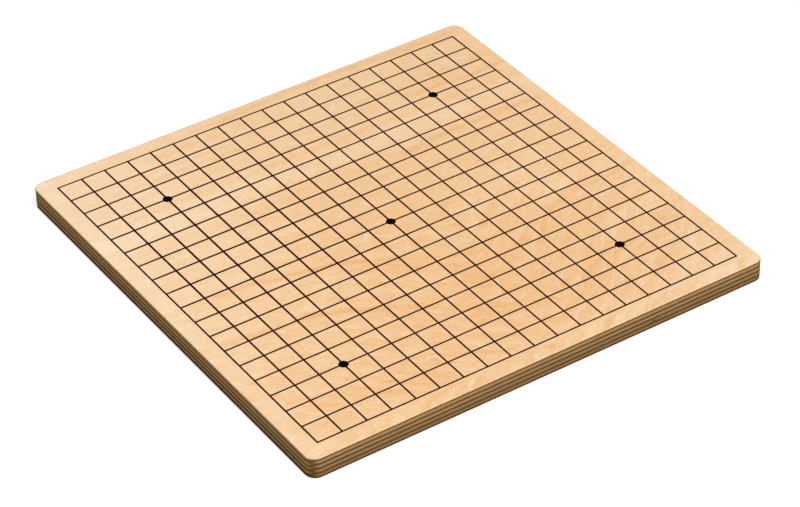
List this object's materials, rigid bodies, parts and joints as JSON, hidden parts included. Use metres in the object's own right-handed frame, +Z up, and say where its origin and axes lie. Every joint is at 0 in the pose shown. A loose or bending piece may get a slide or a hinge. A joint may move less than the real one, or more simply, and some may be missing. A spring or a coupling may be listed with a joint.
{
  "type": "go board",
  "caption": "Flat square go board of cross-banded birch plywood, with rounded corners, eased edges, and black grid lines and star points printed on its top.",
  "frame": {"origin": "middle of the underside, on the surface the board lies on", "axes": "+Z up through the thickness to the playing surface; +X along the grain of the two face veneers; +Y across it"},
  "size_m": [0.275, 0.275, 0.0121],
  "materials": {
    "birch_face": "rotary-cut birch face veneer, grain along X, under a thin satin clear lacquer",
    "birch_core_along": "birch core veneer with its grain along X, sanded edge",
    "birch_core_across": "birch core veneer with its grain along Y, sanded edge",
    "glue_resin": "cured dark brown phenolic resin film",
    "line_ink": "matt black screen-printing ink, a film 0.05 mm thick"
  },
  "bodies": {
    "root": {"top_face_veneer": "birch_face", "core_veneer_1": "birch_core_across", "core_veneer_2": "birch_core_along", "core_veneer_3": "birch_core_across", "core_veneer_4": "birch_core_along", "core_veneer_5": "birch_core_across", "core_veneer_6": "birch_core_along", "core_veneer_7": "birch_core_across", "bottom_face_veneer": "birch_face", "glue_film_1": "glue_resin", "glue_film_2": "glue_resin", "glue_film_3": "glue_resin", "glue_film_4": "glue_resin", "glue_film_5": "glue_resin", "glue_film_6": "glue_resin", "glue_film_7": "glue_resin", "glue_film_8": "glue_resin", "grid_lines": "line_ink", "star_points": "line_ink"}
  },
  "joints": []
}
